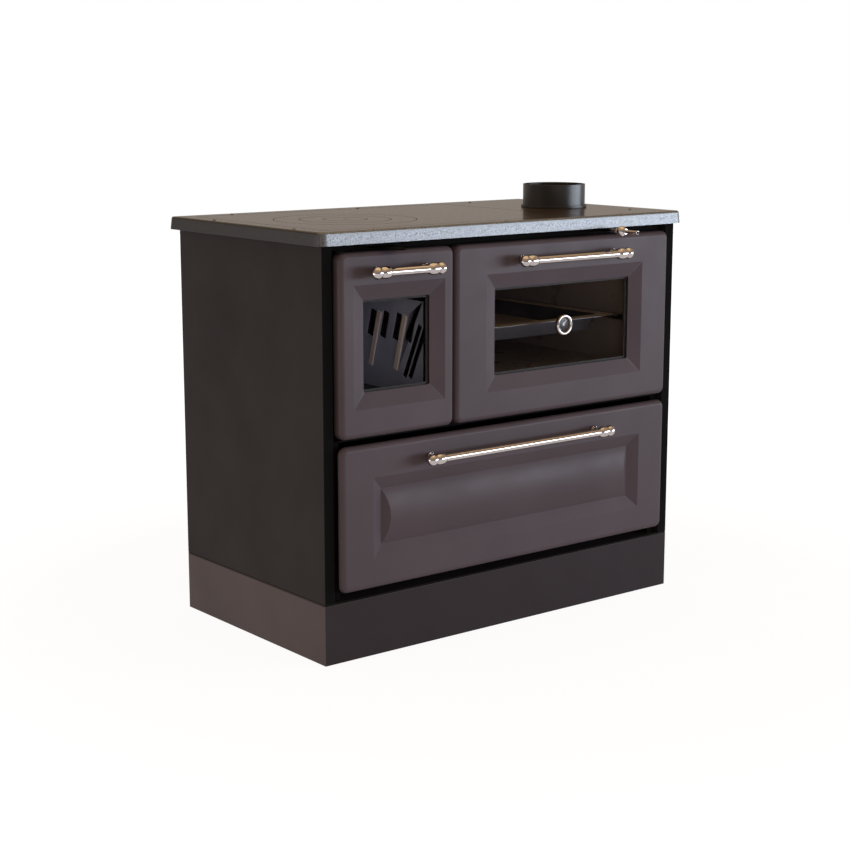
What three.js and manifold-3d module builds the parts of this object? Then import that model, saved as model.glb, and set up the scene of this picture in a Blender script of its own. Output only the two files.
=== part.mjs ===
// Wood cookstove: firebox on the left, oven on the right, wood drawer below, hob with lift-out rings on top.
// Millimetres, +Z up. While it is built, x runs right along the front, y runs back from the plinth's front
// and z rises from the floor. The last lines move the origin to the middle of the footprint, on the floor.
import * as THREE from 'three';
import { mergeVertices } from 'three/addons/utils/BufferGeometryUtils.js';
import Module from 'manifold-3d';

const wasm = await Module();
wasm.setup();

// Spans are [low, high].
const shrink = ([low, high], by) => [low + by, high - by];
const grow = (span, by) => shrink(span, -by);
const middle = ([low, high]) => (low + high) / 2;

// ---------------------------------------------------------------- clearances
const TOUCH = 0.3;            // gap between faces that touch
const RUNNING = 0.5;          // gap round something that slides or turns
const PASS = 2;               // how far a cutter runs past the face it cuts
const JOINT_LINE = 0.8;       // open line round the hob's inset plates
const DOOR_GAP = 3.2;         // between the two doors
const FLANGE_GAP = 7.5;       // between a front flange and the door beside it

// ---------------------------------------------------------------- driving sizes
const BODY_WIDTH = 945;
const BODY_DEPTH = 517;
const PLINTH_HEIGHT = 121;
const SHELF_HEIGHT = 440;        // shelf under firebox and oven
const HOB_HEIGHT = 850;
const SHEET = 3;                 // casing sheet
const THIN_SHEET = 2;            // drawer box, pans and trays

const PLINTH_FLANGE = 25;
const SIDE_FLANGE = 23;          // width of the casing's front and rear returns
const FRAME_DEPTH = 14;          // front face of the front frame, behind the plinth's front
const LEDGE_DEPTH = 43;          // open ledge under the drawer
const RISER_HEIGHT = 34;
const BACK_INSET = 6;

const RIM_OVERHANG = 15.5;
const RIM_HEIGHT = 26.5;
const RIM_WALL = 5;
const RIM_DRAFT = 2.5;
const RIM_EDGE = 5;              // rounding of the rim's top edge
const RIM_CORNER = 21;
const REAR_CORNER = 6.5;
const HOB_THICKNESS = 14;
const HOB_REBATE = 8;
const HOB_LEDGE = 6;
const HOB_MARGIN = 21;           // from the casing's left and front to the inset cooking plate
const HOB_RIGHT_MARGIN = 263;
const HOB_REAR_MARGIN = 34;
const HOB_X = [HOB_MARGIN, BODY_WIDTH - HOB_RIGHT_MARGIN];
const HOB_Y = [HOB_MARGIN, BODY_DEPTH - HOB_REAR_MARGIN];

const RING_FROM_LEFT = 206;      // rings' centre from the plate's left edge
const RING_FORWARD = 14;         // and in front of the plate's middle
const RING_CENTRE = [HOB_X[0] + RING_FROM_LEFT, middle(HOB_Y) - RING_FORWARD];
const RING_RADII = [148, 95, 46];
const RING_SEAT = 7;
const RING_LIP = 4;
const LIFTER_RADIUS = 4.5;

const FLUE_FROM_RIGHT = 121;
const FLUE_FROM_REAR = 259;
const FLUE_CENTRE = [BODY_WIDTH - FLUE_FROM_RIGHT, BODY_DEPTH - FLUE_FROM_REAR];
const FLUE_RADIUS = 70;
const FLUE_WALL = 3;
const FLUE_HEIGHT = 52;
const FLUE_FLANGE_RADIUS = 74;
const FLUE_FLANGE = 5;

const ROD_FROM_FLUE = 88;        // pull rod's distance to the left of the flue's centre
const ROD_BELOW_HOB = 32;
const DAMPER_ROD = [FLUE_CENTRE[0] - ROD_FROM_FLUE, HOB_HEIGHT - ROD_BELOW_HOB];
const ROD_RADIUS = 3.6;
const ROD_BORE = 2.2;
const ROD_REACH = 98;
const KNOB_RADIUS = 8.4;
const KNOB_REACH = 50;
const KNOB_ARC = 62;             // degrees of the ball to each side of its middle
const DAMPER_SIZE = 150;
const DAMPER_TAB = 8;
const GUIDE_LENGTH = 230;
const GUIDE_FOOT = 12;
const GUIDE_WALL = 4;

const LEVER_CENTRE_X = 150;
const LEVER_BELOW_HOB = 38;
const LEVER_HEIGHT = HOB_HEIGHT - LEVER_BELOW_HOB;
const LEVER_THICKNESS = 3;
const LEVER_HALF_WIDTH = 21;
const LEVER_REACH = 62;
const LEVER_PIVOT = 32;          // pivot behind the plinth's front
const LEVER_BOSS = 12;
const LEVER_PIN = 4;
const LEVER_SLOT_HALF = 30;

const DOOR_FACE = 16;            // how far door and drawer faces stand in front of the flanges
const DOOR_PLATE = 12;
const DOOR_TRAY_BACK = 7;
const DOOR_EDGE = 11;            // rounding of the front plates' edges
const DOOR_CORNER = 16;
const DOOR_ABOVE_SHELF = 8;
const DOOR_BELOW_HOB = 41.5;
const DOOR_Z = [SHELF_HEIGHT + DOOR_ABOVE_SHELF, HOB_HEIGHT - DOOR_BELOW_HOB];
const FIRE_DOOR_WIDTH = 280.3;
const FIRE_DOOR_X = [SIDE_FLANGE + FLANGE_GAP, SIDE_FLANGE + FLANGE_GAP + FIRE_DOOR_WIDTH];
const OVEN_DOOR_X = [FIRE_DOOR_X[1] + DOOR_GAP, BODY_WIDTH - SIDE_FLANGE - FLANGE_GAP];
const WINDOW_BEVEL = 31;
const BEVEL_DEPTH = 11.5;
const BEVEL_CORNER = 0.8;
const WINDOW_CORNER = 4;
const WINDOW_SILL = 88;          // from the door's lower edge
const WINDOW_HEAD = 93.5;        // from the door's upper edge
const WINDOW_Z = [DOOR_Z[0] + WINDOW_SILL, DOOR_Z[1] - WINDOW_HEAD];
const FIRE_WINDOW_JAMBS = [62, 55.8];
const OVEN_WINDOW_JAMB = 110.5;
const FIRE_WINDOW_X = [FIRE_DOOR_X[0] + FIRE_WINDOW_JAMBS[0], FIRE_DOOR_X[1] - FIRE_WINDOW_JAMBS[1]];
const OVEN_WINDOW_X = shrink(OVEN_DOOR_X, OVEN_WINDOW_JAMB);
const GLASS_LAP = 9;
const GLASS_THICKNESS = 4;
const CLAMP_WIDTH = 14;
const CLAMP_THICKNESS = 2;
const SEAL_INSET = 22;
const SEAL_WIDTH = 8;
const SEAL_DEPTH = 5;

const HINGE_INSET = 10.5;        // hinge axis from the door's own edge
const HINGE_PIN = 2.8;
const HINGE_PIN_LENGTH = 18;
const HINGE_PLATE = 3;
const HINGE_EAR = 2;
const HINGE_HALF = 8;
const CATCH_THICKNESS = 6;
const CATCH_LENGTH = 30;

const HANDLE_REACH = 31;         // handle axis in front of the door face
const FIRE_HANDLE_SHIFT = 0.25;   // bar's middle, left of the window's
const OVEN_HANDLE_SHIFT = 0.05;   // bar's middle, right of the door's
const BAR_RADIUS = 8;
const BALL_RADIUS = 12.5;
const BALL_START = -43;          // degrees, where the ball leaves the neck
const COLLAR_RADIUS = 12.5;
const COLLAR_HALF = 13;
const NECK_RADIUS = 8.6;
const NECK_HALF = 3;
const POST_RADIUS = 6;
const POST_FOOT_RADIUS = 9;
const POST_FOOT = 3;
const POST_INSET = 31;           // post from the handle's end
const DOOR_HANDLE_DROP = 38;     // handle axis below the door's upper edge
const FIRE_HANDLE_LENGTH = 179;
const OVEN_HANDLE_LENGTH = 315;
const DRAWER_HANDLE_LENGTH = 510;

const DIAL_RADIUS = 22;
const DIAL_RIM = 6.5;
const DIAL_DEPTH = 8;
const DIAL_RECESS = 3;
const NEEDLE_LENGTH = 12;
const NEEDLE_HUB = 3;
const NEEDLE_WIDTH = 2.2;
const NEEDLE_THICKNESS = 1;
const NEEDLE_TURN = 40;          // degrees, where the cold needle stands

const FIRE_OPENING_X = [62, 282];
const FIRE_OPENING_SILL = 18;
const FIRE_OPENING_HEAD = 70;
const FIRE_OPENING_Z = [SHELF_HEIGHT + FIRE_OPENING_SILL, HOB_HEIGHT - FIRE_OPENING_HEAD];
const LINING_LEFT = 52;          // inner faces of the firebox
const LINING_RIGHT = 262;
const LINING_BELOW_HOB = 152;
const LINING_TOP = HOB_HEIGHT - LINING_BELOW_HOB;
const LINING_BOTTOM = SHELF_HEIGHT + SHEET + TOUCH;
const LINING_HEIGHT = LINING_TOP - LINING_BOTTOM;
const LINING_FRONT = 25;
const LINING_REAR_GAP = 77;
const LINING_BACK = BODY_DEPTH - LINING_REAR_GAP;
const LINING_THICKNESS = 12;
const RIB_PROUD = 3;
const GRATE_ABOVE_SHELF = 67;
const GRATE_TOP = SHELF_HEIGHT + GRATE_ABOVE_SHELF;
const GRATE_THICKNESS = 12;
const GRATE_LEDGE = 8;
const GRATE_BARS = 9;
const GRATE_SLOT = 10;
const GRATE_EDGE = 24;
const GRATE_FRONT = 50;
const PAN_HEIGHT = 34;
const PAN_MARGIN = 14;
const PAN_REAR_GAP = 65;

// Slots through the side linings and ribs on them: the first one's place and the pitch along y, how far
// the top is below the lining's top, the length as a share of the lining's height, the lean in degrees.
const AIR_SLOT = { first: 57.8, pitch: 43.2, count: 4, below: 32.2, share: 0.22, width: 20, lean: 16 };
const RIB = { first: 81.4, pitch: 85, count: 2, below: 33, share: 0.47, width: 13, lean: 16 };
const LONG_SLOT = { first: 34, pitch: -18, count: 2, below: 49, share: 0.48, width: 13, lean: 25 };

const OVEN_FROM_LEFT = 393;
const OVEN_RIGHT_GAP = 110;
const OVEN_REAR_GAP = 47;
const OVEN_ABOVE_SHELF = 83.5;
const OVEN_BELOW_HOB = 90;
const OVEN_INSIDE_X = [OVEN_FROM_LEFT, BODY_WIDTH - OVEN_RIGHT_GAP];
const OVEN_FLOOR = SHELF_HEIGHT + OVEN_ABOVE_SHELF;
const OVEN_CEILING = HOB_HEIGHT - OVEN_BELOW_HOB;
const OVEN_BACK = BODY_DEPTH - OVEN_REAR_GAP;
const OVEN_FLANGE = 18;
const TRAY_ABOVE_FLOOR = 103.5;
const TRAY_RIM = OVEN_FLOOR + TRAY_ABOVE_FLOOR;
const TRAY_DEPTH = 34;
const TRAY_SIDE_GAP = 17;
const TRAY_REAR_GAP = 18;
const TRAY_FRONT_EDGE = 39;
const TRAY_X = shrink(OVEN_INSIDE_X, TRAY_SIDE_GAP);
const TRAY_Y = [TRAY_FRONT_EDGE, OVEN_BACK - TRAY_REAR_GAP];
const TRAY_FLANGE = 30;
const TRAY_DRAFT = 12;
const RAIL_LEG = 12;

const DRAWER_BELOW_SHELF = 6;
const DRAWER_ABOVE_PLINTH = 22;
const DRAWER_Z = [PLINTH_HEIGHT + DRAWER_ABOVE_PLINTH, SHELF_HEIGHT - DRAWER_BELOW_SHELF];
const DRAWER_BOX_MARGIN = 48;    // from the casing's sides
const DRAWER_BOX_SILL = 25;
const DRAWER_BOX_HEAD = 22;
const DRAWER_BOX_X = shrink([0, BODY_WIDTH], DRAWER_BOX_MARGIN);
const DRAWER_BOX_Z = [DRAWER_Z[0] + DRAWER_BOX_SILL, DRAWER_Z[1] - DRAWER_BOX_HEAD];
const DRAWER_BOX_BACK = BODY_DEPTH - OVEN_REAR_GAP;
const DRAWER_HANDLE_DROP = 42;
const POST_WIDTH = 22;
const FIELD_MARGINS = [107, 109];    // left and right, from the casing's sides
const FIELD_SILL = 58;
const FIELD_HEAD = 67;
const FIELD_BEVEL_X = [FIELD_MARGINS[0], BODY_WIDTH - FIELD_MARGINS[1]];
const FIELD_BEVEL_Z = [DRAWER_Z[0] + FIELD_SILL, DRAWER_Z[1] - FIELD_HEAD];
const FIELD_BEVEL = 26.5;
const FIELD_BULGE = 10.5;
const FIELD_END_RUN = 17;
const RUNNER_LAP = 14;

// Middle x, length and height of each handle, and the thermometer's x and z.
const DOOR_HANDLE_Z = DOOR_Z[1] - DOOR_HANDLE_DROP;
const FIRE_HANDLE_X = middle(FIRE_WINDOW_X) - FIRE_HANDLE_SHIFT;
const OVEN_HANDLE_X = middle(OVEN_DOOR_X) + OVEN_HANDLE_SHIFT;
const FIRE_HANDLE = [FIRE_HANDLE_X, FIRE_HANDLE_LENGTH, DOOR_HANDLE_Z];
const OVEN_HANDLE = [OVEN_HANDLE_X, OVEN_HANDLE_LENGTH, DOOR_HANDLE_Z];
const DRAWER_HANDLE = [BODY_WIDTH / 2, DRAWER_HANDLE_LENGTH, DRAWER_Z[1] - DRAWER_HANDLE_DROP];
const THERMOMETER = [middle(OVEN_WINDOW_X), middle(WINDOW_Z)];

// Flat sides of turned pieces, and steps of curved outlines.
const PIN_SIDES = 20;
const ROD_SIDES = 24;
const BOSS_SIDES = 32;
const RING_SIDES = 48;
const CORNER_STEPS = 6;
const EDGE_STEPS = 6;
const BALL_STEPS = 9;
const BAR_SIDES = 16;            // handle bars
const COLLAR_STEPS = 6;          // along a collar of a handle bar
const BAR_BALL_STEPS = 7;        // along a ball of a handle bar
const TONGUE_STEPS = 16;
const FIELD_STEPS = 14;
const WELD = 1e-4;               // corners closer than this are one corner
const QUARTER = 90;              // degrees

// ---------------------------------------------------------------- materials
function finish(color, roughness, metalness) {
  return new THREE.MeshStandardMaterial({ color, roughness, metalness });
}

const taupe = () => finish(0x58524f, 0.45, 0.3);
const black = () => finish(0x1c1b1b, 0.5, 0.3);
const casing = () => finish(0x2f2d2e, 0.5, 0.3);
const hobSteel = () => finish(0x83766c, 0.35, 0.8);
const castIron = () => finish(0x2a2a2c, 0.75, 0.5);
const chrome = () => finish(0xdcd8d4, 0.12, 1);
const sheetSteel = () => finish(0x55504c, 0.4, 0.8);
const glass = () => {
  const material = finish(0x30343a, 0.05, 0);
  material.transparent = true;
  material.opacity = 0.35;
  return material;
};
const ropeSeal = () => finish(0x6a665e, 0.95, 0);

// ---------------------------------------------------------------- shape helpers
const stove = new THREE.Group();

function add(name, geometry, material) {
  const mesh = new THREE.Mesh(geometry, material);
  mesh.name = name;
  stove.add(mesh);
  return mesh;
}

function solid(geometry) {
  const bare = geometry.clone();
  bare.deleteAttribute('normal');
  bare.deleteAttribute('uv');
  const merged = mergeVertices(bare, WELD);
  const vertProperties = new Float32Array(merged.attributes.position.array);
  const triVerts = new Uint32Array(merged.index.array);
  return new wasm.Manifold(new wasm.Mesh({ numProp: 3, vertProperties, triVerts }));
}

function geometryOf(manifold) {
  const mesh = manifold.getMesh();
  const geometry = new THREE.BufferGeometry();
  geometry.setAttribute('position', new THREE.BufferAttribute(new Float32Array(mesh.vertProperties), 3));
  geometry.setIndex(new THREE.BufferAttribute(new Uint32Array(mesh.triVerts), 1));
  return geometry;
}

function cut(geometry, ...cutters) {
  return geometryOf(cutters.reduce((body, cutter) => body.subtract(solid(cutter)), solid(geometry)));
}

function join(geometry, ...others) {
  return geometryOf(others.reduce((body, other) => body.add(solid(other)), solid(geometry)));
}

function box([x0, x1], [y0, y1], [z0, z1]) {
  const block = new THREE.BoxGeometry(x1 - x0, y1 - y0, z1 - z0);
  return block.translate((x0 + x1) / 2, (y0 + y1) / 2, (z0 + z1) / 2);
}

// A closed profile of [x, z] or [x, y] points, pushed along the third axis.
function shapeOf(points) {
  return new THREE.Shape(points.map(([u, v]) => new THREE.Vector2(u, v)));
}

function prismZ(points, z0, z1) {
  const prism = new THREE.ExtrudeGeometry(shapeOf(points), { depth: z1 - z0, bevelEnabled: false });
  return prism.translate(0, 0, z0);
}

function prismY(points, y0, y1) {
  const prism = new THREE.ExtrudeGeometry(shapeOf(points), { depth: y1 - y0, bevelEnabled: false });
  return prism.rotateX(Math.PI / 2).translate(0, y1, 0);
}

// Points are [y, z]; the prism runs along x.
function prismX(points, x0, x1) {
  const prism = new THREE.ExtrudeGeometry(shapeOf(points), { depth: x1 - x0, bevelEnabled: false });
  return prism.rotateX(Math.PI / 2).rotateZ(Math.PI / 2).translate(x0, 0, 0);
}

function rodX(radius, x0, x1, y, z, sides = ROD_SIDES) {
  const rod = new THREE.CylinderGeometry(radius, radius, x1 - x0, sides);
  return rod.rotateZ(Math.PI / 2).translate((x0 + x1) / 2, y, z);
}

function rodY(radius, y0, y1, x, z, sides = ROD_SIDES) {
  return new THREE.CylinderGeometry(radius, radius, y1 - y0, sides).translate(x, (y0 + y1) / 2, z);
}

function rodZ(radius, z0, z1, x, y, sides = BOSS_SIDES) {
  const rod = new THREE.CylinderGeometry(radius, radius, z1 - z0, sides);
  return rod.rotateX(Math.PI / 2).translate(x, y, (z0 + z1) / 2);
}

// [radius, height] points turned about a standing axis at (x, y).
function turnedZ(profile, x, y, sides) {
  const points = profile.map(([r, h]) => new THREE.Vector2(r, h));
  return new THREE.LatheGeometry(points, sides).rotateX(Math.PI / 2).translate(x, y, 0);
}

// A rounded rectangle of [u, v] points, corner by corner.
function roundedRectangle([u0, u1], [v0, v1], radii) {
  const corners = [[u1, v0, -1, 1], [u1, v1, -1, -1], [u0, v1, 1, -1], [u0, v0, 1, 1]];
  return corners.flatMap(([u, v, inU, inV], corner) => {
    const radius = Array.isArray(radii) ? radii[corner] : radii;
    return Array.from({ length: CORNER_STEPS + 1 }, (_, step) => {
      const angle = THREE.MathUtils.degToRad(QUARTER * (corner - 1 + step / CORNER_STEPS));
      return [u + radius * (inU + Math.cos(angle)), v + radius * (inV + Math.sin(angle))];
    });
  });
}

// Skins a row of outlines with the same number of points; the ends are capped, or meet when closed is true.
function loft(rings, closed) {
  const count = rings[0].length;
  const positions = rings.flat(2);
  const index = [];
  const spans = closed ? rings.length : rings.length - 1;
  for (let ring = 0; ring < spans; ring += 1) {
    const next = (ring + 1) % rings.length;
    for (let point = 0; point < count; point += 1) {
      const after = (point + 1) % count;
      const [near, nearAfter] = [ring * count + point, ring * count + after];
      const [far, farAfter] = [next * count + point, next * count + after];
      index.push(near, nearAfter, farAfter, near, farAfter, far);
    }
  }
  if (!closed) {
    const last = (rings.length - 1) * count;
    for (let point = 1; point < count - 1; point += 1) {
      index.push(0, point + 1, point);
      index.push(last, last + point, last + point + 1);
    }
  }
  const geometry = new THREE.BufferGeometry();
  geometry.setAttribute('position', new THREE.BufferAttribute(new Float32Array(positions), 3));
  geometry.setIndex(signedVolume(positions, index) < 0 ? index.reverse() : index);
  return geometry;
}

function signedVolume(positions, index) {
  const at = (corner) => new THREE.Vector3().fromArray(positions, 3 * index[corner]);
  let volume = 0;
  for (let corner = 0; corner < index.length; corner += 3) {
    volume += at(corner).dot(at(corner + 1).cross(at(corner + 2)));
  }
  return volume;
}

const upright = (outline, y) => outline.map(([x, z]) => [x, y, z]);
const level = (outline, z) => outline.map(([x, y]) => [x, y, z]);

// Outlines of an edge rounding: inset and depth go round a quarter circle.
function edgeSteps(radius) {
  return Array.from({ length: EDGE_STEPS + 1 }, (_, step) => {
    const angle = Math.PI / 2 * step / EDGE_STEPS;
    return [radius * (1 - Math.cos(angle)), radius * (1 - Math.sin(angle))];
  });
}

// ---------------------------------------------------------------- casing
const FRAME_BACK = FRAME_DEPTH + SHEET;
const BASE_TOP = PLINTH_HEIGHT + TOUCH + SHEET;
const CASING_TOP = HOB_HEIGHT - HOB_THICKNESS - TOUCH;
const WHOLE_X = [0, BODY_WIDTH];
const WHOLE_Y = [0, BODY_DEPTH];
const BETWEEN_FLANGES = [SIDE_FLANGE + TOUCH, BODY_WIDTH - SIDE_FLANGE - TOUCH];

function makePlinth() {
  const hollow = box(shrink(WHOLE_X, SHEET), shrink(WHOLE_Y, SHEET), [SHEET, PLINTH_HEIGHT + PASS]);
  const inside = box(shrink(WHOLE_X, PLINTH_FLANGE), shrink(WHOLE_Y, PLINTH_FLANGE), [-PASS, SHEET + PASS]);
  add('plinth', cut(box(WHOLE_X, WHOLE_Y, [0, PLINTH_HEIGHT]), hollow, inside), taupe());
}

function makeBasePlate() {
  const height = [PLINTH_HEIGHT + TOUCH, BASE_TOP];
  add('base_plate', box(WHOLE_X, WHOLE_Y, height), casing());
  const riserY = [LEDGE_DEPTH, LEDGE_DEPTH + SHEET];
  const riserZ = [BASE_TOP + TOUCH, BASE_TOP + RISER_HEIGHT];
  add('ledge_riser', box(BETWEEN_FLANGES, riserY, riserZ), black());
}

// The side panel's plan: outer skin, front return with its hem, rear return.
function sidePanelPlan(edge, inward) {
  const x = (distance) => edge + inward * distance;
  const rear = BODY_DEPTH;
  return [
    [x(0), 0], [x(SIDE_FLANGE), 0], [x(SIDE_FLANGE), FRAME_BACK], [x(SIDE_FLANGE - SHEET), FRAME_BACK],
    [x(SIDE_FLANGE - SHEET), SHEET], [x(SHEET), SHEET], [x(SHEET), rear - SHEET],
    [x(SIDE_FLANGE), rear - SHEET], [x(SIDE_FLANGE), rear], [x(0), rear],
  ];
}

function makeSidePanels() {
  const height = [BASE_TOP + TOUCH, CASING_TOP];
  add('side_panel_left', prismZ(sidePanelPlan(0, 1), ...height), casing());
  add('side_panel_right', prismZ(sidePanelPlan(BODY_WIDTH, -1), ...height), casing());
}

function makeBackPanel() {
  const y = [BODY_DEPTH - BACK_INSET - SHEET, BODY_DEPTH - SHEET - TOUCH];
  add('back_panel', box(shrink(WHOLE_X, SHEET + TOUCH), y, [BASE_TOP + TOUCH, CASING_TOP]), casing());
}

// The frame behind the doors: openings for fire, oven and drawer, the lever's slot and the rod's hole.
function makeFrontFrame() {
  const depth = [FRAME_DEPTH - PASS, FRAME_BACK + PASS];
  const plate = box(BETWEEN_FLANGES, [FRAME_DEPTH, FRAME_BACK], [BASE_TOP + TOUCH, CASING_TOP]);
  const drawerZ = [BASE_TOP - PASS, SHELF_HEIGHT - TOUCH];
  const drawerHole = box(shrink(BETWEEN_FLANGES, POST_WIDTH), depth, drawerZ);
  const fireHole = box(FIRE_OPENING_X, depth, FIRE_OPENING_Z);
  const ovenHole = box(OVEN_INSIDE_X, depth, [OVEN_FLOOR, OVEN_CEILING]);
  const slotX = [LEVER_CENTRE_X - LEVER_SLOT_HALF, LEVER_CENTRE_X + LEVER_SLOT_HALF];
  const leverSlot = box(slotX, depth, grow([LEVER_HEIGHT, LEVER_HEIGHT + LEVER_THICKNESS], RUNNING));
  const rodHole = rodY(ROD_RADIUS + RUNNING, ...depth, ...DAMPER_ROD);
  add('front_frame', cut(plate, drawerHole, fireHole, ovenHole, leverSlot, rodHole), black());
}

function makeShelf() {
  const y = [FRAME_BACK + TOUCH, BODY_DEPTH - BACK_INSET - SHEET - TOUCH];
  const x = shrink(WHOLE_X, SHEET + TOUCH);
  add('shelf', box(x, y, [SHELF_HEIGHT, SHELF_HEIGHT + SHEET]), sheetSteel());
}

// ---------------------------------------------------------------- hob
const RIM_X = grow(WHOLE_X, RIM_OVERHANG);
const RIM_Y = grow(WHOLE_Y, RIM_OVERHANG);
const RIM_BOTTOM = HOB_HEIGHT - RIM_HEIGHT;

function rimOutline(inset) {
  const corners = [RIM_CORNER, REAR_CORNER, REAR_CORNER, RIM_CORNER];
  const radii = corners.map((radius) => Math.max(radius - inset, BEVEL_CORNER));
  return roundedRectangle(shrink(RIM_X, inset), shrink(RIM_Y, inset), radii);
}

function makeTopFrame() {
  const rounding = edgeSteps(RIM_EDGE).map(([inset, drop]) => (
    level(rimOutline(RIM_DRAFT + inset), HOB_HEIGHT - drop)));
  const body = loft([level(rimOutline(0), RIM_BOTTOM), ...rounding], false);
  const wall = RIM_WALL + RIM_DRAFT;
  const underZ = [RIM_BOTTOM - PASS, HOB_HEIGHT - HOB_THICKNESS];
  const under = box(shrink(RIM_X, wall), shrink(RIM_Y, wall), underZ);
  const rebate = box(HOB_X, HOB_Y, [HOB_HEIGHT - HOB_REBATE, HOB_HEIGHT + PASS]);
  const through = [RIM_BOTTOM - PASS, HOB_HEIGHT + PASS];
  const hobHole = box(shrink(HOB_X, HOB_LEDGE), shrink(HOB_Y, HOB_LEDGE), through);
  const flueHole = rodZ(FLUE_RADIUS - FLUE_WALL, ...through, ...FLUE_CENTRE, RING_SIDES);
  add('top_frame', cut(body, under, rebate, hobHole, flueHole), hobSteel());
}

const PLATE_BOTTOM = HOB_HEIGHT - HOB_REBATE + TOUCH;
const LIP_BOTTOM = HOB_HEIGHT - RING_LIP;

// Each seat is a through hole with a wider recess for the lip of what sits in it.
function seatProfile(radius) {
  const neck = radius - RING_SEAT;
  return [[radius, HOB_HEIGHT], [radius, LIP_BOTTOM], [neck, LIP_BOTTOM], [neck, PLATE_BOTTOM]];
}

function lipProfile(radius) {
  const outer = radius - JOINT_LINE;
  const neck = radius - RING_SEAT - JOINT_LINE;
  const lip = LIP_BOTTOM + TOUCH;
  return [[neck, PLATE_BOTTOM], [neck, lip], [outer, lip], [outer, HOB_HEIGHT]];
}

function makeCookingPlate() {
  const plate = box(shrink(HOB_X, JOINT_LINE), shrink(HOB_Y, JOINT_LINE), [PLATE_BOTTOM, HOB_HEIGHT]);
  const above = HOB_HEIGHT + PASS;
  const recess = rodZ(RING_RADII[0], LIP_BOTTOM, above, ...RING_CENTRE, RING_SIDES);
  const hole = rodZ(RING_RADII[0] - RING_SEAT, PLATE_BOTTOM - PASS, above, ...RING_CENTRE, RING_SIDES);
  add('cooking_plate', cut(plate, recess, hole), hobSteel());
}

function makeRings() {
  const names = ['ring_outer', 'ring_middle'];
  names.forEach((name, at) => {
    const profile = [...lipProfile(RING_RADII[at]), ...seatProfile(RING_RADII[at + 1])];
    add(name, turnedZ([...profile, profile[0]], ...RING_CENTRE, RING_SIDES), hobSteel());
  });
  const cap = [[0, PLATE_BOTTOM], ...lipProfile(RING_RADII[2])];
  const socket = [[LIFTER_RADIUS, HOB_HEIGHT], [LIFTER_RADIUS, LIP_BOTTOM], [0, LIP_BOTTOM]];
  add('ring_cap', turnedZ([...cap, ...socket], ...RING_CENTRE, RING_SIDES), hobSteel());
}

function makeFlueCollar() {
  const base = HOB_HEIGHT + TOUCH;
  const inner = FLUE_RADIUS - FLUE_WALL;
  const flangeTop = base + FLUE_FLANGE;
  const top = HOB_HEIGHT + FLUE_HEIGHT;
  const profile = [
    [inner, base], [FLUE_FLANGE_RADIUS, base], [FLUE_FLANGE_RADIUS, flangeTop], [FLUE_RADIUS, flangeTop],
    [FLUE_RADIUS, top], [inner, top], [inner, base],
  ];
  add('flue_collar', turnedZ(profile, ...FLUE_CENTRE, RING_SIDES), black());
}

// ---------------------------------------------------------------- flue damper
const DAMPER_THICKNESS = SHEET;
const DAMPER_X = [FLUE_CENTRE[0] - DAMPER_SIZE / 2, FLUE_CENTRE[0] + DAMPER_SIZE / 2];
const DAMPER_Y = [FLUE_CENTRE[1] - DAMPER_SIZE / 2, FLUE_CENTRE[1] + DAMPER_SIZE / 2];
const DAMPER_Z = [DAMPER_ROD[1] - DAMPER_THICKNESS / 2, DAMPER_ROD[1] + DAMPER_THICKNESS / 2];

// A thin tube with a ball grip, turned in one piece; its front end is open.
function makeDamperRod() {
  const rear = DAMPER_Y[0] - TOUCH;
  const ball = Array.from({ length: BALL_STEPS + 1 }, (_, step) => {
    const angle = THREE.MathUtils.degToRad(KNOB_ARC * (2 * step / BALL_STEPS - 1));
    return [KNOB_RADIUS * Math.cos(angle), KNOB_RADIUS * Math.sin(angle) - KNOB_REACH];
  });
  const profile = [
    [0, -ROD_REACH + KNOB_RADIUS], [ROD_BORE, -ROD_REACH + KNOB_RADIUS], [ROD_BORE, -ROD_REACH],
    [ROD_RADIUS, -ROD_REACH], ...ball, [ROD_RADIUS, rear], [0, rear],
  ];
  const points = profile.map(([r, h]) => new THREE.Vector2(r, h));
  const rod = new THREE.LatheGeometry(points, PIN_SIDES).translate(DAMPER_ROD[0], 0, DAMPER_ROD[1]);
  add('damper_rod', rod, chrome());
}

function makeDamperPlate() {
  const tabX = [DAMPER_ROD[0] - DAMPER_TAB, DAMPER_X[0] + PASS];
  const tabY = [DAMPER_Y[0], DAMPER_Y[0] + DAMPER_TAB];
  add('damper_plate', join(box(DAMPER_X, DAMPER_Y, DAMPER_Z), box(tabX, tabY, DAMPER_Z)), castIron());
}

// Angle guides under the top frame; the damper plate slides on their feet.
function makeDamperGuides() {
  const footTop = DAMPER_Z[0] - TOUCH;
  const footBottom = footTop - GUIDE_WALL;
  const front = DAMPER_Y[0] + DAMPER_TAB + RUNNING;
  const y = [front, front + GUIDE_LENGTH];
  const [leftEdge, rightEdge] = grow(DAMPER_X, RUNNING);
  const sides = [['damper_guide_left', leftEdge, 1], ['damper_guide_right', rightEdge, -1]];
  sides.forEach(([name, edge, inward]) => {
    const x = (distance) => edge + inward * distance;
    const angle = [
      [x(-GUIDE_WALL), footBottom], [x(GUIDE_FOOT), footBottom], [x(GUIDE_FOOT), footTop],
      [x(0), footTop], [x(0), CASING_TOP], [x(-GUIDE_WALL), CASING_TOP],
    ];
    add(name, prismY(angle, ...y), sheetSteel());
  });
}

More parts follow.
